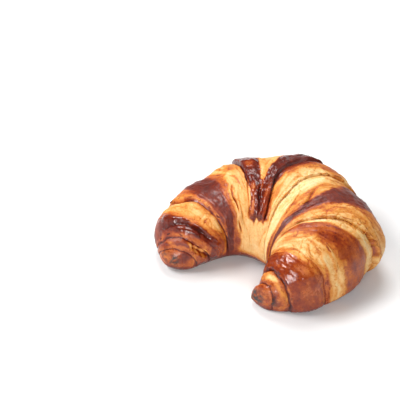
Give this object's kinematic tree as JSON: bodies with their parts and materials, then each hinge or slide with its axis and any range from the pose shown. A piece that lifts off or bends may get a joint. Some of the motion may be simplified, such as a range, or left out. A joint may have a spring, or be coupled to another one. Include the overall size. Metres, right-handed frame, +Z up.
{
  "type": "pretzel croissant",
  "caption": "Crescent of rolled laminated dough with a dark glossy crust, stepped laps, a raised tongue over the middle and a flat baked base.",
  "frame": {"origin": "centre of the bounding box in plan, on the surface that the croissant lies on", "axes": "+Z up, +X across both horns along the longest side, and the crescent's bay opens towards -Y"},
  "size_m": [0.1398, 0.1234, 0.0657],
  "materials": {
    "crust": "dark reddish brown glossy crust on the crests, golden to cream dough between them"
  },
  "bodies": {
    "root": {"croissant": "crust"}
  },
  "joints": []
}
